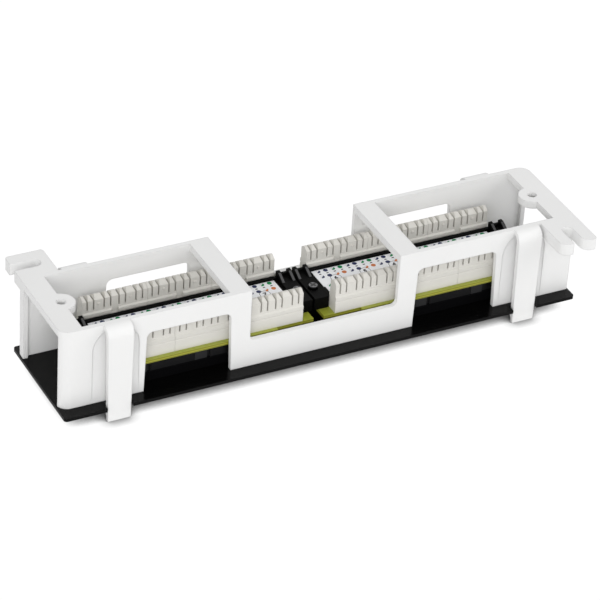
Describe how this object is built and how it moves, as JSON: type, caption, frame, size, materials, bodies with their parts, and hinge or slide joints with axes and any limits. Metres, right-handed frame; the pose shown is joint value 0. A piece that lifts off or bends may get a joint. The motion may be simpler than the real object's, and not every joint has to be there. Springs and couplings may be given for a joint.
{
  "type": "wall mount patch panel",
  "caption": "Wall mount patch panel with a white moulded plastic bracket, black front plate, and two gangs of jacks with punch-down blocks and colour-dot wiring labels",
  "frame": {"origin": "on the plane of the four leg tips, under the middle of the panel's outline with both ears", "axes": "+X along the panel, +Y towards the left ear's side, +Z towards the wall; the jacks open down, along -Z"},
  "size_m": [0.254, 0.0842, 0.048],
  "materials": {
    "bracket_plastic": "satin",
    "plate_metal": "gloss",
    "housing_plastic": "satin",
    "carrier_plastic": "satin",
    "block_plastic": "satin",
    "board_laminate": "satin",
    "contact_gold": "polished",
    "contact_tin": "satin",
    "label_film": "satin",
    "screw_steel": "satin"
  },
  "bodies": {
    "root": {"wall_bracket": "bracket_plastic", "front_plate": "plate_metal", "jack_housing_left": "housing_plastic", "port_contacts_left": "contact_gold", "circuit_board_left": "board_laminate", "label_carrier_left": "carrier_plastic", "wiring_label_left": "label_film", "carrier_screw_left_left": "screw_steel", "carrier_screw_left_right": "screw_steel", "idc_block_left_front_1": "block_plastic", "idc_block_left_front_2": "block_plastic", "idc_block_left_front_3": "block_plastic", "idc_contacts_left_front": "contact_tin", "idc_block_left_back_1": "block_plastic", "idc_block_left_back_2": "block_plastic", "idc_block_left_back_3": "block_plastic", "idc_contacts_left_back": "contact_tin", "jack_housing_right": "housing_plastic", "port_contacts_right": "contact_gold", "circuit_board_right": "board_laminate", "label_carrier_right": "carrier_plastic", "wiring_label_right": "label_film", "carrier_screw_right_left": "screw_steel", "carrier_screw_right_right": "screw_steel", "idc_block_right_front_1": "block_plastic", "idc_block_right_front_2": "block_plastic", "idc_block_right_front_3": "block_plastic", "idc_contacts_right_front": "contact_tin", "idc_block_right_back_1": "block_plastic", "idc_block_right_back_2": "block_plastic", "idc_block_right_back_3": "block_plastic", "idc_contacts_right_back": "contact_tin"}
  },
  "joints": []
}
